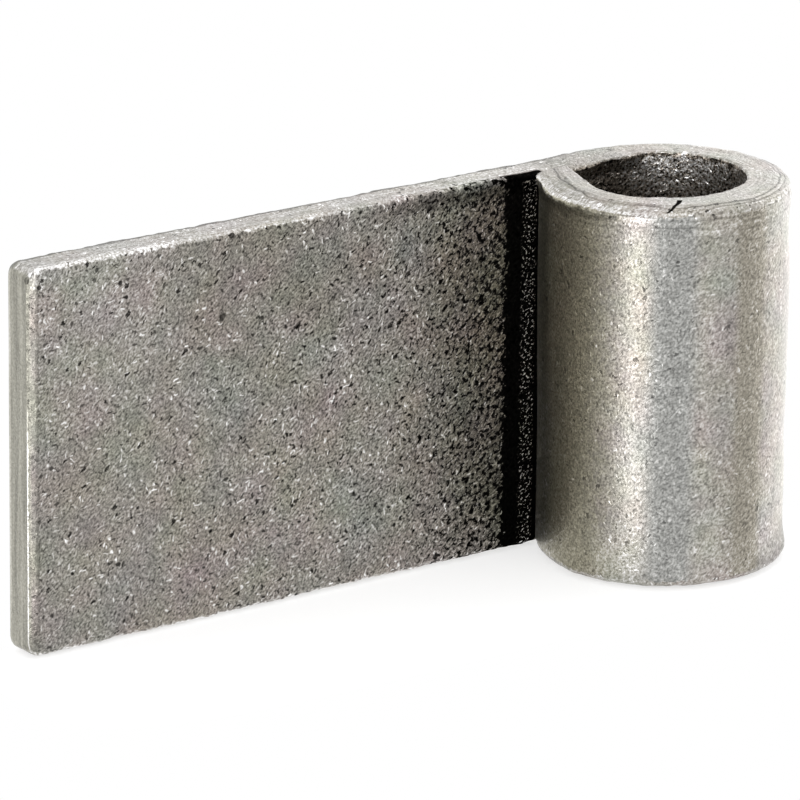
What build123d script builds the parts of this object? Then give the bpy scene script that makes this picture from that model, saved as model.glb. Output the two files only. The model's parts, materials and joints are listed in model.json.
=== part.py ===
from build123d import *
import math
import os

# Weld-on barrel hinge leaf: one length of hot-rolled flat bar, sheared off and rolled into an eye.
#
# Frame: the origin is the middle of the bore.
#   +Z runs up the bore, the leaf reaches out along -X, and its weld face looks along +Y.
# Angles about the bore are counted from +X, counter-clockwise seen from above.

# The flat bar
strip_thickness = 5.0      # wall of the leaf and of the barrel
strip_width = 45.0         # height of the leaf
strip_edge_round = 0.9     # worn mill edges of the bar, front and back

# The leaf
leaf_reach = 81.0          # from the bore's axis to the free end
upper_corner_round = 1.6   # free end's corners, worn by tumbling
lower_corner_round = 1.3

# The barrel
bore_diameter = 19.0
straight_tip = 6.1         # last stretch that the rolls can't bend, along its middle
seam_gap = 0.12            # hairline between the tip's cut end and the leaf
end_swell = 0.25           # rolling presses the bar wider on the inside of the bend, at each end
barrel_rim_round = 1.5     # outer edge of the barrel's ends, drawn in by the bend
bore_rim_round = 0.3       # inner edge of the barrel's ends
blend_run = 10.0           # stretch of the leaf that runs into the swelled section

# What follows from them
bore_radius = bore_diameter / 2
outer_radius = bore_radius + strip_thickness
middle_radius = bore_radius + strip_thickness / 2
barrel_length = strip_width + 2 * end_swell
seam_plane = bore_radius - seam_gap

# The roll starts where the leaf meets the barrel, at 90 degrees, and runs clockwise round the bore.
# It ends at the angle from which a straight tip of the given length just reaches the seam:
# middle_radius * sin(end) - straight_tip * cos(end) = seam_plane.
start_angle = 90.0
tip_lead = math.degrees(math.atan2(straight_tip, middle_radius))
tip_span = math.hypot(straight_tip, middle_radius)
end_angle = 180.0 + tip_lead - math.degrees(math.asin(seam_plane / tip_span))
roll_sweep = 360.0 + start_angle - end_angle


def strip_section(width, outer_round, inner_round):
    """Cross-section of the bar: local X from the bore's side to the outer side, local Y upwards."""
    section = Rectangle(strip_thickness, width)
    section = fillet(section.vertices().group_by(Axis.X)[-1], outer_round)
    return fillet(section.vertices().group_by(Axis.X)[0], inner_round)


def station(angle):
    """Plane across the bar where it passes this angle, with its normal along the roll."""
    toward_x = math.cos(math.radians(angle))
    toward_y = math.sin(math.radians(angle))
    return Plane(
        origin=(middle_radius * toward_x, middle_radius * toward_y, 0),
        x_dir=(toward_x, toward_y, 0),
        z_dir=(toward_y, -toward_x, 0),
    )


def flat_leaf():
    """Plate from the free end to the blend, with rounded corners and worn edges all round."""
    length = leaf_reach - blend_run
    outline = Pos(-length / 2, 0) * Rectangle(length, strip_width)
    free_corners = outline.vertices().group_by(Axis.X)[0].sort_by(Axis.Y)
    outline = fillet(free_corners[-1], upper_corner_round)
    low_corner = outline.vertices().filter_by(lambda v: v.Y < 0).sort_by(Axis.X)[0]
    outline = fillet(low_corner, lower_corner_round)
    face_plane = Plane(origin=(-blend_run, outer_radius, 0), x_dir=(1, 0, 0), z_dir=(0, -1, 0))
    plate = extrude(face_plane * outline, strip_thickness)
    sides = plate.faces().filter_by(Axis.Y)
    worn_edges = [edge for side in sides for edge in side.edges() if edge.center().X < -blend_run - 1e-6]
    return fillet(worn_edges, strip_edge_round)


def blend():
    """Short stretch in which the leaf's section grows into the barrel's."""
    start = station(start_angle)
    leaf_end = start.offset(-blend_run) * strip_section(strip_width, strip_edge_round, strip_edge_round)
    return loft([leaf_end, start * barrel_section], ruled=True)


def rolled_eye():
    """The bar's section carried round the bore."""
    clockwise = Axis((0, 0, 0), (0, 0, -1))
    return revolve(station(start_angle) * barrel_section, clockwise, roll_sweep)


def closing_tip():
    """Unbent end of the bar, pressed to the barrel's round outside and cut off along the leaf's front face."""
    overlong = straight_tip + strip_thickness
    tip = extrude(station(end_angle) * barrel_section, overlong)
    beyond_seam = Pos(0, seam_plane + overlong, 0) * Box(4 * outer_radius, 2 * overlong, 2 * barrel_length)
    full_round = fillet(Cylinder(outer_radius, barrel_length).edges().filter_by(GeomType.CIRCLE), barrel_rim_round)
    return (tip - beyond_seam) & full_round


barrel_section = strip_section(barrel_length, barrel_rim_round, bore_rim_round)
hinge_leaf = flat_leaf() + blend() + rolled_eye() + closing_tip()
hinge_leaf.label = "hinge_leaf"

os.makedirs("parts", exist_ok=True)
export_step(hinge_leaf, "parts/hinge_leaf.step")
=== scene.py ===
import json
import math

import bpy
import numpy as np
from mathutils import Matrix, Vector


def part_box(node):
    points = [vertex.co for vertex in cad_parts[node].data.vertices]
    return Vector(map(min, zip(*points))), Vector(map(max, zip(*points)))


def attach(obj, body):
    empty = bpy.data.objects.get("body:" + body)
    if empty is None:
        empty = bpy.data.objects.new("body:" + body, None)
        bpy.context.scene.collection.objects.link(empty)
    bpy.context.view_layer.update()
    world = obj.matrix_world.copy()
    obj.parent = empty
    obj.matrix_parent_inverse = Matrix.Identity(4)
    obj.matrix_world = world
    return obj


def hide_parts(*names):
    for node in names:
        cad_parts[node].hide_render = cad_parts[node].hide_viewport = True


# One leaf of a weld-on barrel hinge: hot-rolled flat bar, sheared, rolled into an eye and tumbled.
# Lengths are in metres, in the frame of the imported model. The bar is built in its own coordinates:
#   s runs along the bar from the free end, w across its thickness (outwards from the bore), z up.

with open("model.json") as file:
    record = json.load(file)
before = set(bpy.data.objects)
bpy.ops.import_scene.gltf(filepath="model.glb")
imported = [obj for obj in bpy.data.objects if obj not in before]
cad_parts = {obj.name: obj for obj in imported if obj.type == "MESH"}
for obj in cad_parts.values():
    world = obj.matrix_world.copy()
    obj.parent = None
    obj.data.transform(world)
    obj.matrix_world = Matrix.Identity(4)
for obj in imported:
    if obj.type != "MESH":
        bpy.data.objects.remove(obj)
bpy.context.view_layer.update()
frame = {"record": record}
leaf_low, leaf_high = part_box("hinge_leaf")
bore_mount = next(m for m in frame["record"]["mounts"] if m["name"] == "bore")

MM = 0.001

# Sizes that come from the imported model
BORE_RADIUS = bore_mount["dims"]["r_mm"] * MM
OUTER_RADIUS = leaf_high.x
THICKNESS = OUTER_RADIUS - BORE_RADIUS
MIDDLE_RADIUS = (OUTER_RADIUS + BORE_RADIUS) / 2
LEAF_REACH = -leaf_low.x
BARREL_HALF = leaf_high.z

# Sizes of the bar that the box doesn't give
END_SWELL = 0.25 * MM        # the bend presses the bar this much wider at each end of the barrel
LEAF_HALF = BARREL_HALF - END_SWELL
MILL_ROUND = 0.9 * MM        # worn mill edges of the bar
RIM_ROUND = 1.6 * MM         # outer edge of the barrel's ends
BORE_RIM_ROUND = 0.3 * MM    # inner edge of the barrel's ends
BLEND_RUN = 10.0 * MM        # stretch of leaf over which the section changes
FRONT_END_FACET = 0.8 * MM   # the shear's slanted burr at the free end's front edge
BACK_END_ROUND = 0.9 * MM    # free end's edge on the weld face
UPPER_CORNER = 1.6 * MM      # free end's corners
LOWER_CORNER = 1.3 * MM
STRAIGHT_TIP = 6.1 * MM      # last stretch, which the rolls don't bend
SEAM_GAP = 0.12 * MM         # hairline between the tip and the leaf
SEAM_PLANE = BORE_RADIUS - SEAM_GAP

# Places along the bar where the upper rim and its ring change
FACET_START = 120 * MM       # the rim's facet grows from here
FACET_FULL = 133 * MM
FACET_FADE = 140 * MM        # and runs out from here
FACET_END = 146 * MM
RING_SHIFT = 0.95 * MM       # the ring's step moves this much towards the bore, between these two places
RING_SHIFT_START = 133 * MM
RING_SHIFT_END = 139.5 * MM


def colour(hex_code):
    """sRGB hex code to linear RGBA: c/12.92 below 0.04045, else ((c + 0.055) / 1.055) ** 2.4."""
    shares = [int(hex_code[i:i + 2], 16) / 255 for i in (1, 3, 5)]
    return [c / 12.92 if c <= 0.04045 else ((c + 0.055) / 1.055) ** 2.4 for c in shares] + [1.0]


# ---------------------------------------------------------------- camera

def set_camera():
    """Long lens above the front left of the leaf, turned about its own axis by the roll."""
    yaw = math.radians(-36.678)
    pitch = math.radians(17.813)
    roll = math.radians(0.698)
    back = Vector((math.sin(yaw) * math.cos(pitch), -math.cos(yaw) * math.cos(pitch), math.sin(pitch)))
    level = Vector((math.cos(yaw), math.sin(yaw), 0))
    upright = back.cross(level)
    right = math.cos(roll) * level + math.sin(roll) * upright
    up = math.cos(roll) * upright - math.sin(roll) * level
    camera_data = bpy.data.cameras.new("studio_camera")
    camera_data.sensor_width = 36
    camera_data.lens = 311.63
    camera_data.clip_end = 20
    camera = bpy.data.objects.new("studio_camera", camera_data)
    distance = 800.406 * MM
    to_left = 30.214 * MM
    downwards = 4.222 * MM
    place = distance * back - to_left * right - downwards * up
    turn = Matrix((right, up, back)).transposed().to_4x4()
    camera.matrix_world = Matrix.Translation(place) @ turn
    bpy.context.scene.collection.objects.link(camera)
    bpy.context.scene.camera = camera


# ---------------------------------------------------------------- the bar's shape

def smoothstep(low, high, value):
    """0 below low, 1 above high, and 3t^2 - 2t^3 between them."""
    t = np.clip((value - low) / (high - low), 0, 1)
    return t * t * (3 - 2 * t)


LATTICE_SHIFT = 1000.0      # keeps every lattice point's place above zero
PLACE_PRIMES = (73856093, 19349663, 83492791)
SEED_PRIME = 2654435761
MIXING_PRIME = 1274126177


def lattice_noise(points, cell, seed):
    """Smooth noise from -1 to 1: random values on a cubic lattice, blended by smoothstep between them.

    A lattice point's value comes from its three whole numbers and the seed, each times a large prime, joined
    by exclusive or and mixed by shifts. Its last 16 bits are spread from -1 to 1.
    """
    scaled = points / cell + LATTICE_SHIFT
    base = np.floor(scaled).astype(np.int64)
    share = scaled - base
    share = share * share * (3 - 2 * share)
    total = np.zeros(points.shape[:-1])
    for corner in np.ndindex(2, 2, 2):
        node = base + np.array(corner)
        code = seed * SEED_PRIME
        for axis, prime in enumerate(PLACE_PRIMES):
            code = code ^ node[..., axis] * prime
        code = (code ^ (code >> 13)) * MIXING_PRIME & 0x7FFFFFFF
        value = ((code ^ (code >> 16)) & 0xFFFF) / 32767.5 - 1
        weight = np.prod(np.where(np.array(corner) == 1, share, 1 - share), axis=-1)
        total += weight * value
    return total


# The roll: it starts at 90 degrees and runs clockwise to where the straight tip just reaches the seam
TIP_LEAD = math.atan2(STRAIGHT_TIP, MIDDLE_RADIUS)
TIP_SPAN = math.hypot(STRAIGHT_TIP, MIDDLE_RADIUS)
END_ANGLE = math.pi + TIP_LEAD - math.asin(SEAM_PLANE / TIP_SPAN)
ROLL_LENGTH = MIDDLE_RADIUS * (2.5 * math.pi - END_ANGLE)
BAR_LENGTH = LEAF_REACH + ROLL_LENGTH + STRAIGHT_TIP


def tip_room(radius):
    """Length of the straight tip at a radius: (seam plane - radius * sin(end angle)) / -cos(end angle)."""
    return (SEAM_PLANE - radius * math.sin(END_ANGLE)) / -math.cos(END_ANGLE)


def carry_along(s, w, z):
    """Bar coordinates to the hinge's frame.

    Leaf: x = s - reach, y = middle radius + w. Roll: angle = 90 deg - (s - reach) / middle radius, at
    radius middle + w. Tip: straight on from the roll's end, its length stretched so that it stops on the
    seam, and its thickness narrowed so that its outer side stays on the barrel's circle:
    outer w = sqrt(outer radius^2 - distance^2) - middle radius. The distance depends on w again, so w is
    worked out three times over.
    """
    rolled = np.clip(s - LEAF_REACH, 0, ROLL_LENGTH)
    angle = math.pi / 2 - rolled / MIDDLE_RADIUS
    beyond = np.clip((s - LEAF_REACH - ROLL_LENGTH) / STRAIGHT_TIP, 0, 1)
    bar_w = w
    for _ in range(3):
        room = tip_room(MIDDLE_RADIUS + w)
        outer_w = np.sqrt(OUTER_RADIUS ** 2 - (beyond * room) ** 2) - MIDDLE_RADIUS
        w = -THICKNESS / 2 + (bar_w + THICKNESS / 2) * (outer_w + THICKNESS / 2) / THICKNESS
    radius = MIDDLE_RADIUS + w
    room = tip_room(radius)
    before = np.minimum(s - LEAF_REACH, 0)
    x = radius * np.cos(angle) + before + beyond * room * math.sin(END_ANGLE)
    y = radius * np.sin(angle) - beyond * room * math.cos(END_ANGLE)
    return np.stack([x, y, z], axis=-1)


ROWS = 76       # quads up the bar's faces, with half of each corner
COLUMNS = 18    # quads across its edges, with half of each corner
ARC = 4         # quads in half a corner
INNER_COUNT = (ROWS - 1) * (COLUMNS - 1)      # points inside a filled end
CORNER_STATIONS, LEAF_STATIONS, ROLL_STATIONS, TIP_STATIONS = 15, 250, 210, 20


def edge_drop(distance, radius):
    """How far a rounded edge falls back: radius - sqrt(radius^2 - (radius - distance)^2)."""
    inside = np.clip(radius - distance, 0, radius)
    return radius - np.sqrt(radius * radius - inside * inside)


def bar_sections(s):
    """Closed section at each station, a rounded rectangle: four straight sides joined by quarter circles.

    Returns w, z and the outward direction in the section, each with one row a station. The loop goes up the
    bore's side, outwards over the top, down the outer side and back along the bottom.
    """
    s = s[:, None]
    bend = smoothstep(LEAF_REACH - BLEND_RUN, LEAF_REACH, s)
    swell = END_SWELL * bend
    top = LEAF_HALF + swell - edge_drop(s, UPPER_CORNER)
    bottom = -LEAF_HALF - swell + edge_drop(s, LOWER_CORNER)
    inner = -THICKNESS / 2 + np.clip(FRONT_END_FACET - s, 0, None)
    outer = THICKNESS / 2 - edge_drop(s, BACK_END_ROUND)
    inner_round = MILL_ROUND + (BORE_RIM_ROUND - MILL_ROUND) * bend
    outer_round = MILL_ROUND + (RIM_ROUND - MILL_ROUND) * bend

    def arc(start):
        return np.radians(start - 90 * np.linspace(0, 1, 2 * ARC + 1))[None, :]

    def line(count):
        return np.linspace(0, 1, count + 1)[1:-1][None, :]

    def corner(centre_w, centre_z, radius, start):
        turn = arc(start)
        direction = np.broadcast_to(np.stack([np.cos(turn), np.sin(turn)], -1), (len(s), 2 * ARC + 1, 2))
        return centre_w + radius * np.cos(turn), centre_z + radius * np.sin(turn), direction

    def facet():
        w, z, direction = corner(0, 0, 1, 90)
        return (outer - facet_run + facet_run * np.abs(w) ** pressed,
                top - facet_drop + facet_drop * np.abs(z) ** pressed, direction)

    # the barrel's upper rim is pressed into a shallow facet that runs out before the tip's end: cos and sin
    # to the power, which is 1 for a quarter circle, times its run across and its drop
    to_facet = smoothstep(FACET_START, FACET_FULL, s)
    run_out = smoothstep(FACET_FADE, FACET_END, s)
    pressed = 1 + bend * (0.75 * to_facet - 0.1)
    facet_run = outer_round + MM * (0.5 * to_facet - 1.2 * run_out)
    facet_drop = outer_round - MM * (0.5 * to_facet + 0.5 * run_out)
    corners = [
        corner(inner + inner_round, top - inner_round, inner_round, 180),
        facet(),
        corner(outer - outer_round, bottom + outer_round, outer_round, 0),
        corner(inner + inner_round, bottom + inner_round, inner_round, -90),
    ]
    counts = [COLUMNS - 2 * ARC, ROWS - 2 * ARC, COLUMNS - 2 * ARC, ROWS - 2 * ARC]
    parts_w, parts_z, parts_d = [], [], []
    for k, (here_w, here_z, here_d) in enumerate(corners):
        next_w, next_z, _ = corners[(k + 1) % 4]
        share = line(counts[k])
        parts_w += [here_w, here_w[:, -1:] + share * (next_w[:, :1] - here_w[:, -1:])]
        parts_z += [here_z, here_z[:, -1:] + share * (next_z[:, :1] - here_z[:, -1:])]
        parts_d += [here_d, np.repeat(here_d[:, -1:], share.shape[1], axis=1)]

    def joined(parts):
        """The whole loop, started at the middle of the last corner, the lower one on the bore's side."""
        return np.roll(np.concatenate(parts, 1), ROWS - ARC, axis=1)

    return joined(parts_w), joined(parts_z), joined(parts_d)


def hump(value, centre, reach):
    """1 at the centre, falling to 0 as exp(-(distance / reach)^2)."""
    return np.exp(-((value - centre) / reach) ** 2)


def wear(s, w, z, out_w, out_z):
    """Moves the bar's points as handling and the rolls left them. Returns the new w and z.

    Faces: + slow noise along the outward direction. Edges: + finer noise where that direction is slanted.
    Barrel: humps and hollows placed by angle and height, and a flare at the tip's top. Bore rim: bites taken
    out of its upper back edge, an uneven lip folded inwards beside them, and a mouth out of round.
    """
    points = np.stack([s, w, z], -1)
    edge = np.clip(3.2 * np.abs(out_w * out_z), 0, 1)
    near_edge = np.maximum(edge, hump(np.abs(z), LEAF_HALF, 1.2 * MM))
    push = 0.035 * MM * lattice_noise(points, 7 * MM, seed=11)
    push += near_edge * 0.07 * MM * lattice_noise(points, 2.2 * MM, seed=12)
    push += edge * 0.07 * MM * lattice_noise(points, 0.8 * MM, seed=13)
    facet_border = smoothstep(0, 0.15, out_z) * (1 - smoothstep(0.35, 0.6, out_z))
    facet_border = facet_border * smoothstep(118 * MM, 126 * MM, s)
    push += facet_border * (w > 0) * 0.15 * MM * lattice_noise(points, 0.9 * MM, seed=18)

    turn = np.degrees((s - LEAF_REACH) / MIDDLE_RADIUS)      # clockwise from the start of the roll
    outside = smoothstep(0, THICKNESS / 2, w)
    on_roll = smoothstep(0, 8, turn)
    right_side = hump(turn, 127, 30) * on_roll * outside
    push += right_side * MM * (-0.26 * hump(z, 17 * MM, 3 * MM) - 0.15 * hump(z, -7.5 * MM, 3 * MM)
                               + 0.36 * hump(z, -21.6 * MM, 1.6 * MM))
    left_side = smoothstep(260, 290, turn) * outside
    push -= left_side * 0.38 * MM * smoothstep(12 * MM, -12 * MM, z)
    flare = smoothstep(BAR_LENGTH - 3 * MM, BAR_LENGTH, s) * outside * smoothstep(20.5 * MM, 22.2 * MM, z)

    bitten = 0.6 * smoothstep(84 * MM, 86 * MM, s) * (1 - smoothstep(89 * MM, 94 * MM, s))
    upper_bore_rim = smoothstep(-1.2 * MM, -2.2 * MM, w) * smoothstep(20.6 * MM, 22.2 * MM, z) * bitten
    bite = upper_bore_rim * MM * (0.20 + 0.34 * lattice_noise(points, 1.5 * MM, seed=14)
                                  + 0.18 * lattice_noise(points, 0.7 * MM, seed=15))
    bite = np.clip(bite, 0, None)
    folded = smoothstep(66 * MM, 71 * MM, s) * (1 - smoothstep(81 * MM, 87 * MM, s))
    folded = folded * smoothstep(-1.4 * MM, -2.2 * MM, w) * smoothstep(21.2 * MM, 22.1 * MM, z)
    bite -= folded * MM * (0.88 + 0.35 * lattice_noise(points, 1.6 * MM, seed=17))
    mouth = smoothstep(0, -1.6 * MM, w) * smoothstep(16 * MM, 21 * MM, z) * MM
    mouth *= (0.6 * smoothstep(218, 245, turn) - 0.55 * smoothstep(258, 285, turn)
              - 0.38 * hump(turn, 165, 32) - 0.15 * hump(turn, 115, 25))

    lane = w + 0.12 * MM * lattice_noise(points * [1, 0, 0], 4 * MM, seed=16)
    lane += RING_SHIFT * smoothstep(RING_SHIFT_START, RING_SHIFT_END, s)
    level = np.abs(out_z) * smoothstep(0.5, 0.9, np.abs(out_z))
    push -= 0.11 * MM * smoothstep(0.85 * MM, 1.15 * MM, lane) * on_roll * level

    return w + push * out_w + flare * 0.55 * MM + bite + mouth, z + push * out_z


def stations():
    """Places along the bar: close together round the free end's edges, then an even pace."""
    rounding = UPPER_CORNER * (1 - np.cos(np.linspace(0, math.pi / 2, CORNER_STATIONS)))
    leaf = np.linspace(UPPER_CORNER, LEAF_REACH, LEAF_STATIONS)[1:]
    roll = np.linspace(LEAF_REACH, LEAF_REACH + ROLL_LENGTH, ROLL_STATIONS)[1:]
    tip = np.linspace(LEAF_REACH + ROLL_LENGTH, BAR_LENGTH, TIP_STATIONS)[1:]
    return np.concatenate([rounding, leaf, roll, tip])


def sides_of(loop):
    """Left, top, right and bottom side of a section's loop, each from its lower or left end."""
    left = loop[:ROWS + 1]
    top = loop[ROWS:ROWS + COLUMNS + 1]
    right = loop[ROWS + COLUMNS:2 * ROWS + COLUMNS + 1][::-1]
    bottom = np.concatenate([loop[2 * ROWS + COLUMNS:], loop[:1]])[::-1]
    return left, top, right, bottom


def fill_grid(loop):
    """Inside of a loop as a grid: both straight blends of opposite sides, less the blend of its corners."""
    left, top, right, bottom = sides_of(loop)
    u = np.linspace(0, 1, COLUMNS + 1)[None, :, None]
    v = np.linspace(0, 1, ROWS + 1)[:, None, None]
    sides = (1 - u) * left[:, None] + u * right[:, None]
    ends = (1 - v) * bottom[None] + v * top[None]
    corners = ((1 - u) * (1 - v) * left[0] + u * (1 - v) * right[0]
               + (1 - u) * v * left[-1] + u * v * right[-1])
    return sides + ends - corners


def cap_faces(loop, first_inner):
    """Quads of a filled end: the loop's own points round it, and inner ones numbered from first_inner."""
    left, top, right, bottom = sides_of(loop)
    grid = np.empty((ROWS + 1, COLUMNS + 1), int)
    grid[:, 0] = left
    grid[-1, :] = top
    grid[:, -1] = right
    grid[0, :] = bottom
    grid[1:-1, 1:-1] = first_inner + np.arange(INNER_COUNT).reshape(ROWS - 1, COLUMNS - 1)
    return np.stack([grid[:-1, :-1], grid[:-1, 1:], grid[1:, 1:], grid[1:, :-1]], -1).reshape(-1, 4)


def build_bar():
    """The whole bar as one closed mesh, carried along its path, with both ends filled.

    It keeps two attributes for its finish: its place on the bar, and how far an edge faces up or down
    together with 1 in the bore.
    """
    s = stations()
    w, z, outward = bar_sections(s)
    count = w.shape[1]
    s_all = np.repeat(s[:, None], count, axis=1)
    worn_w, worn_z = wear(s_all, w, z, outward[..., 0], outward[..., 1])
    place = np.stack([s_all, worn_w, worn_z], -1)
    tube = place.reshape(-1, 3)
    start_fill = fill_grid(place[0])[1:-1, 1:-1]
    end_fill = fill_grid(place[-1])[1:-1, 1:-1]
    bar = np.concatenate([tube, start_fill.reshape(-1, 3), end_fill.reshape(-1, 3)])
    rim = np.concatenate([np.abs(outward[..., 1]).ravel(), np.zeros(len(bar) - len(tube))])
    inside_roll = smoothstep(69 * MM, 70.5 * MM, bar[:, 0]) * smoothstep(1 * MM, -1.5 * MM, bar[:, 1])
    bore = inside_roll * (1 - smoothstep(0.5, 0.8, rim))
    finish = np.stack([rim, bore, np.zeros(len(bar))], -1)
    points = carry_along(bar[:, 0], bar[:, 1], bar[:, 2])
    points = np.clip(points, np.array(leaf_low), np.array(leaf_high))

    index = np.arange(len(tube)).reshape(len(s), count)
    ahead = np.roll(index, -1, axis=1)
    skin = np.stack([index[:-1], index[1:], ahead[1:], ahead[:-1]], -1).reshape(-1, 4)

    start_cap = cap_faces(index[0], len(tube))[:, ::-1]
    end_cap = cap_faces(index[-1], len(tube) + INNER_COUNT)
    faces = np.concatenate([skin, start_cap, end_cap])

    mesh = bpy.data.meshes.new("hinge_leaf_tumbled")
    mesh.vertices.add(len(points))
    mesh.vertices.foreach_set("co", points.astype(np.float32).ravel())
    mesh.loops.add(faces.size)
    mesh.loops.foreach_set("vertex_index", faces.astype(np.int32).ravel())
    mesh.polygons.add(len(faces))
    mesh.polygons.foreach_set("loop_start", np.arange(0, faces.size, 4, dtype=np.int32))
    mesh.polygons.foreach_set("use_smooth", np.ones(len(faces), bool))
    place_on_bar = mesh.attributes.new("place_on_bar", "FLOAT_VECTOR", "POINT")
    place_on_bar.data.foreach_set("vector", bar.astype(np.float32).ravel())
    finish_map = mesh.attributes.new("finish", "FLOAT_VECTOR", "POINT")
    finish_map.data.foreach_set("vector", finish.astype(np.float32).ravel())
    mesh.update(calc_edges=True)
    mesh.validate()
    piece = bpy.data.objects.new("hinge_leaf_tumbled", mesh)
    bpy.context.scene.collection.objects.link(piece)
    return piece


# ---------------------------------------------------------------- materials

NOISE_LOW, NOISE_HIGH = 0.28, 0.72      # noise with a little detail stays between these nearly everywhere


def add(tree, kind, inputs=None, take=0, **settings):
    """Adds a shader node, sets its settings, sets or links its inputs, and returns one of its outputs."""
    node = tree.nodes.new("ShaderNode" + kind)
    for name, value in settings.items():
        setattr(node, name, value)
    for name, value in (inputs or {}).items():
        if isinstance(value, bpy.types.NodeSocket):
            tree.links.new(value, node.inputs[name])
        else:
            node.inputs[name].default_value = value
    return node.outputs[take] if len(node.outputs) else node


def per_mm(size):
    """Pattern scale, in cells a metre, that makes one cell this many millimetres."""
    return 1000.0 / size


def patch(tree, *parts):
    """Product of masks. A part is a mask, or (value, low, high), a smoothstep from 0 at low to 1 at high."""
    whole = None
    for part in parts:
        if isinstance(part, tuple):
            part = add(tree, "MapRange", {"Value": part[0], "From Min": part[1], "From Max": part[2]},
                       interpolation_type="SMOOTHSTEP")
        whole = part if whole is None else add(tree, "Math", {0: whole, 1: part}, operation="MULTIPLY")
    return whole


def stripe(tree, value, centre, half, soft):
    """1 within half of the centre, falling to 0 over soft."""
    off = add(tree, "Math", {0: value, 1: centre}, operation="SUBTRACT")
    off = add(tree, "Math", {0: off}, operation="ABSOLUTE")
    return patch(tree, (off, half + soft, half))


def shade(tree, tone, mask, factor):
    """Tone multiplied by the factor where the mask is 1, and left alone where it is 0."""
    share = add(tree, "Mix", {0: mask, 2: 1.0, 3: factor})
    return add(tree, "Math", {0: tone, 1: share}, operation="MULTIPLY")


def grain(tree, place, size, low, high, detail=2.0):
    """Noise of this size in mm, spread to run from low to high."""
    noise = add(tree, "TexNoise", {"Vector": place, "Scale": per_mm(size), "Detail": detail,
                                   "Roughness": 0.6})
    return add(tree, "MapRange", {"Value": noise, "From Min": NOISE_LOW, "From Max": NOISE_HIGH,
                                  "To Min": low, "To Max": high})


def drawn_out(tree, bar, along_mm, across_mm, up_mm, low, high):
    """Noise with cells of these sizes along the bar, across it and up it, spread to run from low to high."""
    scaled = add(tree, "VectorMath", {0: bar, 1: (per_mm(along_mm), per_mm(across_mm), per_mm(up_mm))},
                 operation="MULTIPLY")
    noise = add(tree, "TexNoise", {"Vector": scaled, "Scale": 1.0, "Detail": 2.0, "Roughness": 0.6})
    return add(tree, "MapRange", {"Value": noise, "From Min": NOISE_LOW, "From Max": NOISE_HIGH,
                                  "To Min": low, "To Max": high})


def uneven(tree, value, ragged, amount):
    """Value shifted by the amount times (ragged - 0.5), for a border that isn't a clean line."""
    shift = add(tree, "Math", {0: ragged, 1: 0.5}, operation="SUBTRACT")
    return add(tree, "Math", {0: shift, 1: amount, 2: value}, operation="MULTIPLY_ADD")


def strokes(tree, place, spacing, length, width, darkest, lightest):
    """Nicks from tumbling: in each cell of a scattered grid, one short stroke in the cell's own direction.

    Stroke: within width of a plane through the cell's middle, and within length / 2 of that middle. Its
    strength is picked between darkest and lightest.
    """
    middle = add(tree, "TexVoronoi", {"Vector": place, "Scale": per_mm(spacing)}, take="Position")
    own = middle.node.outputs["Color"]
    away = add(tree, "VectorMath", {0: place, 1: middle}, operation="SUBTRACT")
    facing = add(tree, "VectorMath", {0: own, 1: (0.5, 0.5, 0.5)}, operation="SUBTRACT")
    facing = add(tree, "VectorMath", {0: facing}, operation="NORMALIZE")
    across = add(tree, "VectorMath", {0: away, 1: facing}, take="Value", operation="DOT_PRODUCT")
    reach = add(tree, "VectorMath", {0: away}, take="Value", operation="LENGTH")
    pick = add(tree, "SeparateColor", {0: own}, take=2)
    strength = add(tree, "MapRange", {"Value": pick, "To Min": darkest, "To Max": lightest})
    return patch(tree, stripe(tree, across, 0.0, 0.0, width * MM), (reach, length * MM / 2, length * MM / 4),
                 strength)


def specks(tree, place, ragged, spacing, reach, cover):
    """Small uneven marks, one in some cells of a scattered grid. 1 at the middle of a mark.

    Cover is the share of the cells that have one. Sizes, in mm, run from 0 to the reach.
    """
    far = add(tree, "TexVoronoi", {"Vector": place, "Scale": per_mm(spacing)}, take="Distance")
    own = add(tree, "SeparateColor", {0: far.node.outputs["Color"]})
    size = add(tree, "MapRange", {"Value": own, "From Min": 1 - cover, "From Max": 1.0,
                                  "To Max": reach / spacing})
    near = uneven(tree, add(tree, "Math", {0: far, 1: size}, operation="DIVIDE"), ragged, 0.9)
    picked = add(tree, "Math", {0: own, 1: 1 - cover}, operation="GREATER_THAN")
    return patch(tree, (near, 1.0, 0.55), picked)


SEAM = LEAF_REACH - 11.06 * MM        # where the tip touches the leaf's front, along the bar
FRONT = -THICKNESS / 2                # the leaf's front face, across the bar

# Colours of the steel
STEEL = "#8c8881"
FRESH_NICK = "#8f8e8d"
# tint of a cooler upright band on the barrel's wall
COOL_BAND_TINT = "#8a8a87"
WARM_BAND = "#8a857a"
OLIVE_STAIN_AND_SHADE = "#8e8a7a"
SHEARED_STEEL = "#96948a"
SCALED_STEEL = "#9a9186"

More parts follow.
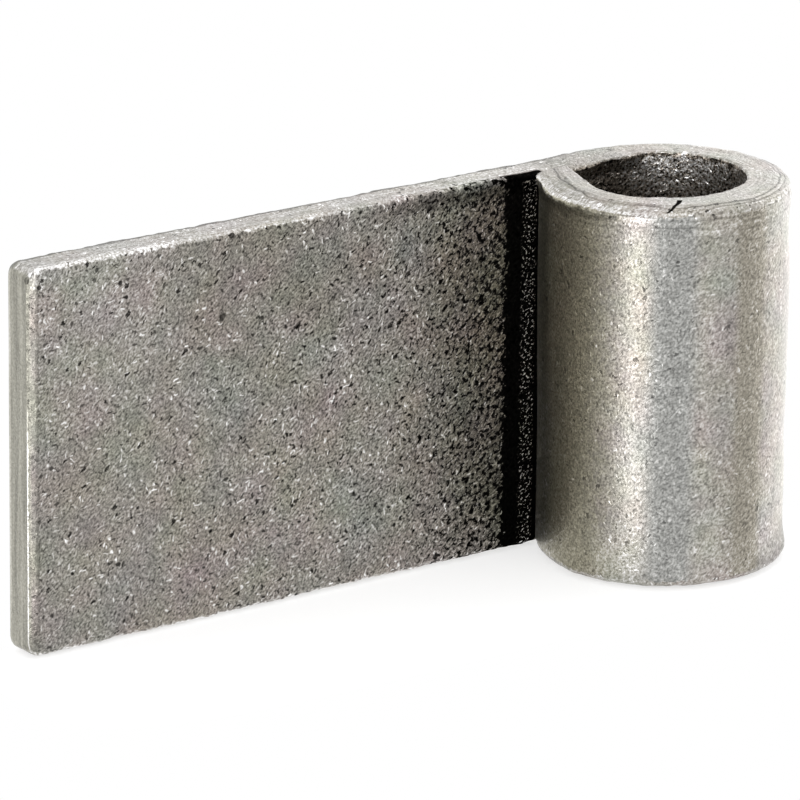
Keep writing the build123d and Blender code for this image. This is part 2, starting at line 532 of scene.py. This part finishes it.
# Single marks: place on the bar in mm, reach in mm, and how dark or light. Most are pits and dabs; a
# painted highlight and a painted dent shadow sit at the free end's upper corner, and a painted highlight
# on the bore's rim.
MARKS = [
    ((8.8, -2.5, 21.2), 0.65, 0.15), ((8.4, -2.5, 20.1), 0.7, 0.25), ((11.8, -2.5, 19.1), 0.6, 0.10),
    # the last mark on this line is a painted highlight on the free end's upper corner; the next line starts
    # with a painted dent shadow
    ((12.6, -2.5, 17.4), 0.7, 0.08), ((1.1, -2.5, 20.4), 0.55, 0.1), ((1.0, -2.3, 21.4), 2.4, 1.7),
    ((0.0, -1.7, 21.2), 0.9, 0.35), ((5.4, -2.5, -13.5), 0.5, 0.1), ((11.6, -2.5, -13.6), 0.7, 0.15),
    ((2.7, -2.5, -17.9), 0.5, 0.15), ((125.5, 2.5, 16.6), 0.45, 0.3), ((132.1, 2.4, 21.3), 0.45, 0.2),
    # a painted highlight on the bore's rim
    ((91.8, -2.4, 22.4), 0.9, 2.6),
]

# Lines of the sheared end: place across the bar and half width in mm, and how dark or light
SHEAR_LINES = [(1.7, 0.15, 1.35), (0.5, 0.3, 0.9), (-0.45, 0.2, 1.12), (-1.3, 0.25, 0.92)]


class PlaceOnPart:
    """Where a point lies on the bar, and masks for the regions that are finished differently.

    Along, across and upward are the bar's s, w and z. Rim is how far a point of an edge faces up or down.
    """

    def __init__(self, tree):
        self.object = add(tree, "TexCoord", take="Object")
        self.bar = add(tree, "Attribute", attribute_name="place_on_bar", take="Vector")
        self.along = add(tree, "SeparateXYZ", {0: self.bar})
        self.across, self.upward = self.along.node.outputs[1], self.along.node.outputs[2]
        finish = add(tree, "Attribute", attribute_name="finish", take="Vector")
        self.rim = add(tree, "SeparateXYZ", {0: finish})

        # marks run a little longer on the diagonal that the tumbling gave them, and are bent by a swirl
        slanted = {"Vector": self.object, "Rotation": (0, math.radians(48), 0), "Scale": (1, 1, 1.5)}
        self.slanted = add(tree, "Mapping", slanted, vector_type="TEXTURE")
        swirl = {"Vector": self.object, "Scale": per_mm(0.9), "Detail": 1.0}
        swirl = add(tree, "TexNoise", swirl, take="Color")
        swirl = add(tree, "VectorMath", {0: swirl, 1: (0.5, 0.5, 0.5)}, operation="SUBTRACT")
        self.bent = add(tree, "VectorMath", {0: swirl, 1: (0.5 * MM,) * 3, 2: self.slanted},
                        operation="MULTIPLY_ADD")
        self.ragged = grain(tree, self.bent, 0.6, 0.0, 1.0)

        lip = uneven(tree, self.upward, self.ragged, 0.35 * MM)
        self.bore = patch(tree, self.rim.node.outputs[1], (lip, 22.6 * MM, 22.5 * MM))
        self.top = patch(tree, (self.upward, 20 * MM, 21 * MM))
        self.roll = patch(tree, (self.along, LEAF_REACH, LEAF_REACH + 4 * MM))
        self.leaf = patch(tree, (self.along, LEAF_REACH - 8 * MM, LEAF_REACH - 12 * MM))
        edge = uneven(tree, self.rim, self.ragged, 0.4)
        edge = add(tree, "Math", {0: self.roll, 1: 0.34, 2: edge}, operation="MULTIPLY_ADD")
        self.worn = patch(tree, (edge, 0.62, 0.70))
        self.outer_half = patch(tree, (self.across, 0.5 * MM, 1.5 * MM))
        self.wall = patch(tree, self.roll, self.outer_half, (self.worn, 1.0, 0.0))
        self.front = patch(tree, (self.across, FRONT + 1.2 * MM, FRONT + 0.7 * MM),
                           (self.along, SEAM + 0.8 * MM, SEAM + 0.3 * MM))
        self.end = patch(tree, (self.along, 0.45 * MM, 0.1 * MM))
        self.burr = patch(tree, (self.along, 0.95 * MM, 0.75 * MM), self.front)
        self.ring = patch(tree, self.roll, (self.rim, 0.80, 0.97))


def tumbled_surface(tree, place):
    """Grain with short nicks and dark pits, calmer on the barrel and calmest on its ring and in its bore.

    Tone = (grain times its rough and broad noise, plus the nicks) drawn towards 1 by the calm share, then
    darkened in the pits. Returns the tone, the height in mm and the finest grain.
    """
    fine = grain(tree, place.slanted, 0.25, 0.0, 1.0)
    broad = grain(tree, place.object, 3.0, 0.88, 1.12, detail=1.0)
    dabs = strokes(tree, place.bent, 0.60, 0.62, 0.12, -2.0, 2.4)
    nicks = strokes(tree, place.bent, 1.5, 1.0, 0.09, 0.2, 1.9)
    tone = add(tree, "MapRange", {"Value": fine, "To Min": -0.04, "To Max": 2.02})
    rough = add(tree, "MapRange", {"Value": place.ragged, "To Min": 0.69, "To Max": 1.31})
    tone = add(tree, "Math", {0: tone, 1: rough}, operation="MULTIPLY")
    tone = add(tree, "Math", {0: tone, 1: broad}, operation="MULTIPLY")
    clumps = add(tree, "MapRange", {"Value": broad, "From Min": 0.92, "From Max": 1.08,
                                    "To Min": 0.5, "To Max": 1.4})
    struck = add(tree, "Math", {0: dabs, 1: nicks}, operation="ADD")
    struck = shade(tree, struck, place.wall, 0.55)
    tone = add(tree, "Math", {0: struck, 1: clumps, 2: tone}, operation="MULTIPLY_ADD")
    tone = add(tree, "Math", {0: tone, 1: 0.08}, operation="MAXIMUM")

    calm = add(tree, "MapRange", {"Value": place.along, "From Min": 15 * MM, "From Max": 40 * MM,
                                  "To Min": 0.20, "To Max": 0.0})
    calm = add(tree, "Math", {0: place.wall, 1: 0.44, 2: calm}, operation="MULTIPLY_ADD")
    for mask, share in ((place.worn, 0.48), (place.burr, 0.6), (place.ring, 0.70), (place.bore, 0.9)):
        calm = add(tree, "Mix", {0: mask, 2: calm, 3: share})
    tone = add(tree, "Mix", {0: calm, 2: tone, 3: 1.0})

    pits = specks(tree, place.bent, fine, 0.85, 0.33, 0.30)
    smooth = add(tree, "Math", {0: place.wall, 1: place.ring}, operation="MAXIMUM")
    tone = shade(tree, tone, pits, add(tree, "Mix", {0: smooth, 2: 0.12, 3: 0.5}))
    gouges = specks(tree, place.bent, place.ragged, 1.5, 0.5, 0.45)
    gouges = patch(tree, gouges, place.front, (place.along, 12 * MM, 24 * MM),
                   (place.along, 64 * MM, 52 * MM), (place.upward, 3 * MM, 12 * MM))
    tone = shade(tree, tone, gouges, 0.18)

    height = add(tree, "Math", {0: fine, 1: 0.022}, operation="MULTIPLY")
    for mark, depth in ((place.ragged, 0.035), (dabs, 0.025), (pits, -0.08)):
        height = add(tree, "Math", {0: mark, 1: depth, 2: height}, operation="MULTIPLY_ADD")
    return tone, height, fine


def rolled_wall(tree, tone, place, stain_and_shade):
    """The barrel's wall: a little lighter than the leaf, with painted reflections, light and shade in
    upright bands, and painted floor reflection and highlight near its bottom.
    """
    tone = shade(tree, tone, place.wall, 1.12)
    # darker beside the seam: partly an olive stained patch, partly painted shade of the dark leaf it
    # reflects
    tone = shade(tree, tone, stain_and_shade, 0.74)
    # painted light: the flank at the seam's crevice lighter
    painted_light_at_crevice = patch(tree, (place.along, 137.5 * MM, 141 * MM), place.wall)
    tone = shade(tree, tone, painted_light_at_crevice, 1.45)
    # painted reflection: a paler upright band
    painted_reflection_band = patch(tree, stripe(tree, place.along, 121.3 * MM, 1.5 * MM, 1.5 * MM), place.wall)
    tone = shade(tree, tone, painted_reflection_band, 1.09)
    # painted shade: a darker upright band on the flank next to the leaf
    painted_shade_band = patch(tree, stripe(tree, place.along, 135.3 * MM, 1.0 * MM, 1.4 * MM), place.wall,
                       (place.upward, 2 * MM, 12 * MM))
    tone = shade(tree, tone, painted_shade_band, 0.88)
    # painted floor reflection: the wall lighter near its bottom
    painted_floor_reflection = patch(tree, place.outer_half, (place.upward, -15.5 * MM, -20 * MM), place.roll)
    tone = shade(tree, tone, painted_floor_reflection, 1.12)
    # painted highlight: the key lamp's streak brighter near the bottom
    painted_foot_highlight = patch(tree, stripe(tree, place.along, 130.8 * MM, 1.5 * MM, 1.8 * MM), place.outer_half,
                       (place.upward, -13 * MM, -17.5 * MM))
    tone = shade(tree, tone, painted_foot_highlight, 1.26)
    # painted light: the flank beside the seam lighter lower down
    painted_light_beside_seam = patch(tree, (place.along, 133 * MM, 138 * MM), (place.upward, 5 * MM, -6 * MM), place.wall)
    return shade(tree, tone, painted_light_beside_seam, 1.24)


def residue_and_shade_at_seam(tree, tone, place, fine):
    """Black deposit in the corner: blotches that close up towards the seam, then a band with grey crumbs.
    The band is partly deposit and partly painted shadow of the crevice. From 22 mm before the seam the front
    darkens towards it in painted shade, with painted glints in it.

    Blotch: where broad noise is above a limit that falls towards the seam, and drops by 0.5 in the band.
    Returns the tone and the mask of the deposit with its painted crevice shadow.
    """
    noise = add(tree, "TexNoise", {"Vector": place.bent, "Scale": per_mm(0.53), "Detail": 3.0,
                                   "Roughness": 0.66})
    limit = add(tree, "MapRange", {"Value": place.along, "From Min": SEAM - 34 * MM,
                                   "From Max": SEAM - 4.5 * MM, "To Min": 0.72, "To Max": 0.512},
                interpolation_type="SMOOTHSTEP")
    band_edge = uneven(tree, place.along, place.ragged, 1.5 * MM)
    # the black band at the seam: partly deposit, partly painted shadow of the crevice
    band = patch(tree, (band_edge, SEAM - 5.0 * MM, SEAM - 3.8 * MM))
    limit = add(tree, "Math", {0: band, 1: -0.5, 2: limit}, operation="MULTIPLY_ADD")
    blot = add(tree, "Math", {0: noise, 1: limit}, operation="SUBTRACT")
    residue_and_crevice_shadow = patch(tree, (blot, -0.03, 0.04), place.front)
    # painted shade: the front darkens towards the seam from 22 mm before it, with painted glints in it
    painted_seam_shade = patch(tree, (place.along, SEAM - 22 * MM, SEAM - 3 * MM), place.front)
    glints = patch(tree, (fine, 0.62, 0.92), painted_seam_shade)
    crumbs = patch(tree, (fine, 0.69, 0.86), (place.along, SEAM - 2.5 * MM, SEAM - 1.4 * MM),
                   (place.along, SEAM - 0.1 * MM, SEAM - 0.6 * MM),
                   (place.upward, 22.0 * MM, 21.6 * MM), place.front)
    tone = shade(tree, tone, painted_seam_shade, 0.66)
    tone = add(tree, "Math", {0: glints, 1: 0.9, 2: tone}, operation="MULTIPLY_ADD")
    tone = shade(tree, tone, residue_and_crevice_shadow, 0.01)
    tone = add(tree, "Math", {0: crumbs, 1: 4.6, 2: tone}, operation="MULTIPLY_ADD")
    return tone, add(tree, "Math", {0: residue_and_crevice_shadow, 1: crumbs}, operation="SUBTRACT", use_clamp=True)


def rubbed_edges_and_painted_light(tree, tone, place):
    """The bar's mill edges, rubbed lighter, with lines drawn out along them, and painted light and shade:
    lighter still on the leaf and the ring, a painted highlight on the leaf's upper front lip, painted floor
    reflection along its lower front edge, painted shade along the back of its top face and on its upper
    front rounding towards the seam.
    """
    tone = shade(tree, tone, place.worn, drawn_out(tree, place.bar, 7.0, 0.28, 0.35, 0.95, 1.60))
    # lighter still on the leaf's edges: partly rubbed wear, partly painted light on faces that look up
    tone = shade(tree, tone, patch(tree, place.worn, place.leaf), 1.36)
    # the ring lighter: partly its burnish, partly painted light on a face that looks up
    tone = shade(tree, tone, place.ring, 1.1)
    # painted highlight on the leaf's upper front lip
    lip = stripe(tree, uneven(tree, place.rim, place.ragged, 0.3), 0.70, 0.16, 0.10)
    lip = patch(tree, lip, (place.across, FRONT + 1.6 * MM, FRONT + 1.0 * MM),
                (place.along, 60 * MM, 45 * MM))
    tone = shade(tree, tone, lip, 1.25)
    # painted floor reflection: a lighter strip along the leaf's lower front edge
    height = uneven(tree, place.upward, place.ragged, 0.9 * MM)
    painted_floor_light_strip = patch(tree, place.front, place.leaf, (height, -21.75 * MM, -21.95 * MM))
    tone = shade(tree, tone, painted_floor_light_strip, 1.22)
    # painted shade: a dark line where the top face rolls over at its back
    painted_shade_line = uneven(tree, place.across, place.ragged, 0.25 * MM)
    painted_shade_line = patch(tree, stripe(tree, painted_shade_line, 1.75 * MM, 0.2 * MM, 0.15 * MM), place.leaf, place.top)
    tone = shade(tree, tone, painted_shade_line, 0.58)
    # painted shade on the upper front rounding towards the seam, carrying on the black deposit's darkness
    facing = uneven(tree, place.rim, place.ragged, 0.25)
    painted_shade_on_rounding = patch(tree, place.front, place.top, (place.along, 42 * MM, 56 * MM), (facing, 0.92, 0.84))
    return shade(tree, tone, painted_shade_on_rounding, 0.5)


def pressed_facet(tree, tone, place):
    """The shallow facet on the barrel's upper rim: painted lighter where it faces up, with a painted pale
    line above its border and painted shade below it.

    The lines lie above and below a height that wanders. A painted highlight of the key lamp lies on the
    border near its start.
    """
    facet = patch(tree, place.roll, place.top, stripe(tree, place.rim, 0.60, 0.3, 0.1))
    # painted light: the facet, which faces up, lighter, more so near its start
    tone = shade(tree, tone, facet, 1.15)
    tone = shade(tree, tone, patch(tree, facet, (place.along, 122 * MM, 130 * MM)), 1.15)
    height = uneven(tree, place.upward, place.ragged, 0.6 * MM)
    flank = patch(tree, place.roll, (place.across, 0.8 * MM, 1.2 * MM))
    # painted light on the flank just above the border
    above = patch(tree, flank, (height, 21.45 * MM, 21.6 * MM), (place.rim, 0.75, 0.35),
                  (place.along, 122 * MM, 130 * MM))
    tone = shade(tree, tone, above, 1.28)
    # painted shade under the border
    below = patch(tree, flank, (height, 21.6 * MM, 21.45 * MM), (height, 19.8 * MM, 20.9 * MM),
                  (place.along, 130 * MM, 133 * MM))
    tone = shade(tree, tone, below, 0.72)
    lit_height = uneven(tree, place.upward, place.ragged, 0.3 * MM)
    # painted highlight of the key lamp on the border
    lit = patch(tree, stripe(tree, place.along, 129.4 * MM, 1.6 * MM, 0.6 * MM),
                stripe(tree, lit_height, 21.35 * MM, 0.15 * MM, 0.2 * MM),
                (place.across, 1.0 * MM, 1.5 * MM))
    tone = shade(tree, tone, lit, 1.5)
    upper_wall = patch(tree, (place.upward, 17.5 * MM, 21 * MM), place.wall)
    return shade(tree, tone, upper_wall, drawn_out(tree, place.bar, 5.0, 3.0, 0.45, 0.65, 1.4))


def ring_lines(tree, tone, place):
    """Dark lines round the upper ring: the step's edge, a thinner one outside it, and the far side's band.

    They follow lanes round the ring: w, plus slow noise, plus the shift of the step towards the tip.
    """
    lane = drawn_out(tree, place.bar, 3.0, 4.0, 4.0, 0.0, 0.5 * MM)
    lane = add(tree, "Math", {0: lane, 1: place.across}, operation="ADD")
    shifted = patch(tree, (place.along, RING_SHIFT_START, RING_SHIFT_END))
    lane = add(tree, "Math", {0: shifted, 1: RING_SHIFT, 2: lane}, operation="MULTIPLY_ADD")
    step_line = patch(tree, stripe(tree, lane, 1.30 * MM, 0.06 * MM, 0.13 * MM), place.ring)
    tone = shade(tree, tone, step_line, 0.45)
    outer_line = patch(tree, stripe(tree, lane, 1.85 * MM, 0.04 * MM, 0.10 * MM), place.roll, place.top,
                       (place.along, 124.5 * MM, 122 * MM))
    tone = shade(tree, tone, outer_line, 0.55)
    far_side = patch(tree, place.top, (place.along, 112 * MM, 100 * MM), (lane, 1.45 * MM, 1.65 * MM))
    return shade(tree, tone, far_side, 0.55)


def leaf_front(tree, tone, place):
    """The leaf's front face: lighter towards its upper corner, and a little darker under its upper edge."""
    corner = patch(tree, (place.along, 30 * MM, 10 * MM), (place.upward, 0.0, 14 * MM), place.front)
    tone = shade(tree, tone, corner, 1.2)
    under_edge = patch(tree, stripe(tree, place.along, 34 * MM, 10 * MM, 8 * MM),
                       (place.upward, 4 * MM, 16 * MM), place.front)
    return shade(tree, tone, under_edge, 0.87)


def scale_and_shade_in_bore(tree, tone, place):
    """Dark mill scale in the bore with pale grains, paler towards the top of its back, darker towards both
    sides of its back wall, and a painted shadow line just under its rim.
    """
    crust = grain(tree, place.object, 0.30, -0.8, 3.1)
    crust = add(tree, "Math", {0: crust, 1: 0.05}, operation="MAXIMUM")
    # paler towards the top of the bore
    paler_upwards = add(tree, "MapRange", {"Value": place.upward, "From Min": 16 * MM, "From Max": 22 * MM,
                                          "To Min": 0.6, "To Max": 2.2})
    crust = add(tree, "Math", {0: crust, 1: paler_upwards}, operation="MULTIPLY")
    tone = shade(tree, tone, place.bore, crust)
    # darker towards both sides of the back wall
    tone = shade(tree, tone, patch(tree, place.bore, (place.along, 87 * MM, 80 * MM)), 0.45)
    tone = shade(tree, tone, patch(tree, place.bore, (place.along, 95 * MM, 102 * MM)), 0.6)
    # painted shadow: a dark line just under the bore's rim
    painted_shadow_edge = uneven(tree, place.upward, place.ragged, 0.3 * MM)
    return shade(tree, tone, patch(tree, place.bore, (painted_shadow_edge, 22.0 * MM, 22.3 * MM)), 0.35)


def sheared_end(tree, tone, place, fine):
    """Free end: lines up and down where the shear slid, and the speckled burr along its front edge, with a
    painted highlight line along the burr.
    """
    sheared = drawn_out(tree, place.bar, 4.0, 0.5, 9.0, 0.76, 1.28)
    speckle = add(tree, "MapRange", {"Value": fine, "To Min": 0.75, "To Max": 1.27})
    sheared = add(tree, "Math", {0: sheared, 1: speckle}, operation="MULTIPLY")
    tone = add(tree, "Mix", {0: place.end, 2: tone, 3: sheared})
    for centre, half, factor in SHEAR_LINES:
        line = stripe(tree, place.across, centre * MM, half * MM, 0.15 * MM)
        tone = shade(tree, tone, patch(tree, place.end, line), factor)
    across = uneven(tree, place.across, place.ragged, 0.3 * MM)
    along = uneven(tree, place.along, place.ragged, 0.3 * MM)
    front_line = patch(tree, place.end, stripe(tree, across, -1.85 * MM, 0.10 * MM, 0.10 * MM))
    tone = shade(tree, tone, front_line, 0.6)
    burr = patch(tree, (across, -1.95 * MM, -2.1 * MM), (along, 0.85 * MM, 0.65 * MM))
    tone = shade(tree, tone, burr, 0.68)
    thin = uneven(tree, place.across, place.ragged, 0.10 * MM)
    # painted highlight: a thin bright line along the burr's edge
    painted_burr_highlight = patch(tree, stripe(tree, thin, FRONT + 0.78 * MM, 0.04 * MM, 0.06 * MM),
                      (place.along, 0.4 * MM, 0.2 * MM), (place.upward, 10 * MM, 0.0))
    tone = add(tree, "Math", {0: painted_burr_highlight, 1: 1.5, 2: tone}, operation="MULTIPLY_ADD")
    beside_burr = patch(tree, stripe(tree, along, 0.95 * MM, 0.08 * MM, 0.10 * MM), place.front)
    return shade(tree, tone, beside_burr, 0.72)


def single_marks(tree, tone, place):
    """The pits and dabs that stand out, a painted highlight and a painted dent shadow at the free end's
    upper corner, a painted highlight on the bore's rim, and the black tick on the ring.

    Tick: a curve s = 125.0 mm + 2.0 mm t^2 with t from 0 to 1 across the ring, thinner as t grows.
    Returns the tone and the tick's mask.
    """
    for mark, reach, factor in MARKS:
        far = add(tree, "VectorMath", {0: place.bar, 1: [c * MM for c in mark]}, take="Value",
                  operation="DISTANCE")
        far = add(tree, "Math", {0: place.ragged, 1: -0.5 * reach * MM, 2: far}, operation="MULTIPLY_ADD")
        tone = shade(tree, tone, patch(tree, (far, 0.25 * reach * MM, 0.05 * reach * MM)), factor)
    way = add(tree, "MapRange", {"Value": place.across, "From Min": -1.9 * MM, "From Max": 2.4 * MM})
    curve = add(tree, "Math", {0: way, 1: 2.0}, operation="POWER")
    off = add(tree, "Math", {0: curve, 1: -2.0 * MM, 2: place.along}, operation="MULTIPLY_ADD")
    off = add(tree, "Math", {0: off, 1: 125.0 * MM}, operation="SUBTRACT")
    off = add(tree, "Math", {0: off}, operation="ABSOLUTE")
    half = add(tree, "MapRange", {"Value": way, "To Min": 0.34 * MM, "To Max": 0.05 * MM})
    off = add(tree, "Math", {0: off, 1: half}, operation="SUBTRACT")
    tick = patch(tree, (off, 0.10 * MM, 0.0), place.top,
                 stripe(tree, place.across, 0.35 * MM, 1.5 * MM, 0.25 * MM))
    return shade(tree, tone, tick, 0.02), tick


def steel_colour(tree, place, stain_and_shade, tone):
    """Warm grey with faint pink and green clouds, tinted by region.

    It is cooler and warmer in two upright bands on the barrel's wall, olive where the wall is stained and
    painted darker beside the seam, greenish on the sheared end, brownish in the bore, and nearly neutral
    in the brightest nicks.
    """
    clouds = add(tree, "TexNoise", {"Vector": place.object, "Scale": per_mm(6), "Detail": 2.0}, take="Color")
    steel = add(tree, "Mix", {0: 0.10, 6: colour(STEEL), 7: clouds}, take=2, data_type="RGBA",
                blend_type="OVERLAY")
    cool = patch(tree, stripe(tree, place.along, 125.8 * MM, 1.2 * MM, 2 * MM), place.wall)
    warm = patch(tree, stripe(tree, place.along, 117.6 * MM, 1.0 * MM, 1.5 * MM), place.wall)
    fresh = patch(tree, (tone, 1.1, 2.6))
    for mask, tint in ((cool, COOL_BAND_TINT), (warm, WARM_BAND), (stain_and_shade, OLIVE_STAIN_AND_SHADE),
                       (place.end, SHEARED_STEEL), (place.bore, SCALED_STEEL), (fresh, FRESH_NICK)):
        steel = add(tree, "Mix", {0: mask, 6: steel, 7: colour(tint)}, take=2, data_type="RGBA")
    return steel


def tumbled_hot_rolled_steel():
    """Mild steel as it leaves the mill and the tumbling barrel: warm grey, satin, with no mirror anywhere.

    Tumbling leaves bright nicks and small dark pits in a fine grain. The rolled barrel is pressed smoother.
    The bar's edges are rubbed lighter, partly painted light where they face up. Black deposit sits in the
    corner at the seam, with painted shade and shadow there, and scale in the bore. Painted reflections,
    highlights and shade also lie on the barrel, its rim, the bore and the free end.
    """
    material = bpy.data.materials.new("tumbled_hot_rolled_steel")
    material.use_nodes = True
    tree = material.node_tree
    tree.nodes.clear()
    place = PlaceOnPart(tree)
    # the wall beside the seam: stained olive, and carrying painted shade
    stain_and_shade_edge = uneven(tree, place.along, place.ragged, 2 * MM)
    stain_and_shade = patch(tree, (stain_and_shade_edge, 129.5 * MM, 135.4 * MM), place.wall)
    tone, height, fine = tumbled_surface(tree, place)
    tone, residue_and_crevice_shadow = residue_and_shade_at_seam(tree, tone, place, fine)
    tone = rolled_wall(tree, tone, place, stain_and_shade)
    tone = rubbed_edges_and_painted_light(tree, tone, place)
    tone = pressed_facet(tree, tone, place)
    tone = ring_lines(tree, tone, place)
    tone = leaf_front(tree, tone, place)
    tone = scale_and_shade_in_bore(tree, tone, place)
    tone = sheared_end(tree, tone, place, fine)
    tone, tick = single_marks(tree, tone, place)
    steel = steel_colour(tree, place, stain_and_shade, tone)
    base = add(tree, "VectorMath", {0: steel, "Scale": tone}, operation="SCALE")

    black = add(tree, "Math", {0: residue_and_crevice_shadow, 1: tick}, operation="MAXIMUM")
    bare = add(tree, "Math", {0: 1.0, 1: black}, operation="SUBTRACT")
    relief = add(tree, "Mix", {0: place.wall, 2: 1.0, 3: 0.4})
    bump = add(tree, "Bump", {"Height": height, "Distance": MM, "Strength": relief})
    rough = add(tree, "Mix", {0: black, 2: 0.36, 3: 0.8})
    shader = add(tree, "BsdfPrincipled", {"Base Color": base, "Metallic": bare, "Roughness": rough,
                                          "Normal": bump, "Specular IOR Level": 0.0})
    add(tree, "OutputMaterial", {"Surface": shader})
    return material


# ---------------------------------------------------------------- stage

LAMP_DISTANCE = 0.8


def studio_lamp(name, azimuth, elevation, size, strength):
    """Rectangular area lamp that faces the part from this direction, in degrees.

    Azimuth is counted from +X towards +Y. Strength is its brightness as seen: power = pi * area * strength.
    """
    turn, lift = math.radians(azimuth), math.radians(elevation)
    toward = Vector((math.cos(turn) * math.cos(lift), math.sin(turn) * math.cos(lift), math.sin(lift)))
    lamp_data = bpy.data.lights.new(name, "AREA")
    lamp_data.shape = "RECTANGLE"
    lamp_data.size, lamp_data.size_y = size
    lamp_data.energy = math.pi * size[0] * size[1] * strength
    lamp = bpy.data.objects.new(name, lamp_data)
    turned = toward.to_track_quat("Z", "Y").to_matrix().to_4x4()
    lamp.matrix_world = Matrix.Translation(toward * LAMP_DISTANCE) @ turned
    lamp.visible_camera = False
    bpy.context.scene.collection.objects.link(lamp)


def seen_as_background(tree):
    """1 on rays from the camera and on rays that metal or glass sends on, so that both show plain white."""
    seen = add(tree, "LightPath", take="Is Camera Ray")
    glossy = add(tree, "LightPath", take="Is Glossy Ray")
    through = add(tree, "LightPath", take="Is Transmission Ray")
    either = add(tree, "Math", {0: seen, 1: glossy}, operation="MAXIMUM")
    return add(tree, "Math", {0: either, 1: through}, operation="MAXIMUM")


FLOOR_HALF = (56 * MM, 17.8 * MM)
FLOOR_SIDES, FLOOR_RINGS = 96, 8
FLOOR_DROP = 0.05 * MM       # keeps the floor clear of the part's underside
PAPER = "#bdbdbd"
PAPER_GLOW = 0.6             # makes the paper white where it is seen


def plain_floor():
    """Pale round-cornered table top under the part, from rings around its middle.

    Ring point: middle + share * half size * (|cos|^0.5, |sin|^0.5) with the signs of cos and sin.
    The camera sees it as white paper that keeps the part's soft shadow.
    """
    middle = np.array([(leaf_low.x + leaf_high.x) / 2, 0.0])
    turn = np.linspace(0, 2 * math.pi, FLOOR_SIDES + 1)[:-1]
    rings = np.linspace(0, 1, FLOOR_RINGS + 1)[1:]
    edge = np.stack([np.sign(np.cos(turn)) * np.abs(np.cos(turn)) ** 0.5,
                     np.sign(np.sin(turn)) * np.abs(np.sin(turn)) ** 0.5], -1)
    flat = middle + rings[:, None, None] * np.array(FLOOR_HALF) * edge
    level = leaf_low.z - FLOOR_DROP
    flat = np.concatenate([middle[None], flat.reshape(-1, 2)])
    points = np.concatenate([flat, np.full((len(flat), 1), level)], 1)
    index = 1 + np.arange(FLOOR_RINGS * FLOOR_SIDES).reshape(FLOOR_RINGS, FLOOR_SIDES)
    ahead = np.roll(index, -1, axis=1)
    faces = np.stack([index[:-1], index[1:], ahead[1:], ahead[:-1]], -1).reshape(-1, 4).tolist()
    faces += [(0, int(i), int(j)) for i, j in zip(index[0], ahead[0])]
    mesh = bpy.data.meshes.new("studio_floor")
    mesh.from_pydata(points.tolist(), [], faces)
    floor = bpy.data.objects.new("studio_floor", mesh)
    bpy.context.scene.collection.objects.link(floor)
    material = bpy.data.materials.new("white_paper")
    material.use_nodes = True
    tree = material.node_tree
    tree.nodes.clear()
    paper = add(tree, "BsdfDiffuse", {"Color": colour(PAPER)})
    lift = add(tree, "Math", {0: seen_as_background(tree), 1: PAPER_GLOW}, operation="MULTIPLY")
    glow = add(tree, "Emission", {"Color": (1, 1, 1, 1), "Strength": lift})
    both = add(tree, "AddShader", {0: paper, 1: glow})
    add(tree, "OutputMaterial", {"Surface": both})
    mesh.materials.append(material)


VIEW_AZIMUTH = -126.7
ROOM_LEVEL = 0.9
TALL = 1.45
LAMPS = [
    ("key_softbox", VIEW_AZIMUTH - 26, 0, (0.17, TALL), 5.2),
    ("front_fill", VIEW_AZIMUTH + 35, 0, (0.60, TALL), 0.35),
    ("right_back_sheet", VIEW_AZIMUTH + 140, 0, (1.25, TALL), 1.15),
    ("left_back_sheet", VIEW_AZIMUTH - 130, 0, (0.80, TALL), 0.35),
    ("overhead_softbox", VIEW_AZIMUTH, 89, (0.8, 0.8), 0.5),
]


def light_studio():
    """Even pale room, plain white where it is seen, and the lamps."""
    world = bpy.data.worlds.new("studio_room")
    world.use_nodes = True
    tree = world.node_tree
    tree.nodes.clear()
    room = add(tree, "Background", {"Color": (1, 1, 1, 1), "Strength": ROOM_LEVEL})
    white = add(tree, "Background", {"Color": (1, 1, 1, 1), "Strength": 1.0})
    mix = add(tree, "MixShader", {0: seen_as_background(tree), 1: room, 2: white})
    add(tree, "OutputWorld", {"Surface": mix})
    bpy.context.scene.world = world
    for lamp in LAMPS:
        studio_lamp(*lamp)


set_camera()
piece = build_bar()
piece.data.materials.append(tumbled_hot_rolled_steel())
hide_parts("hinge_leaf")
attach(piece, "root")
plain_floor()
light_studio()

scene = bpy.context.scene
scene.view_settings.view_transform = "Standard"
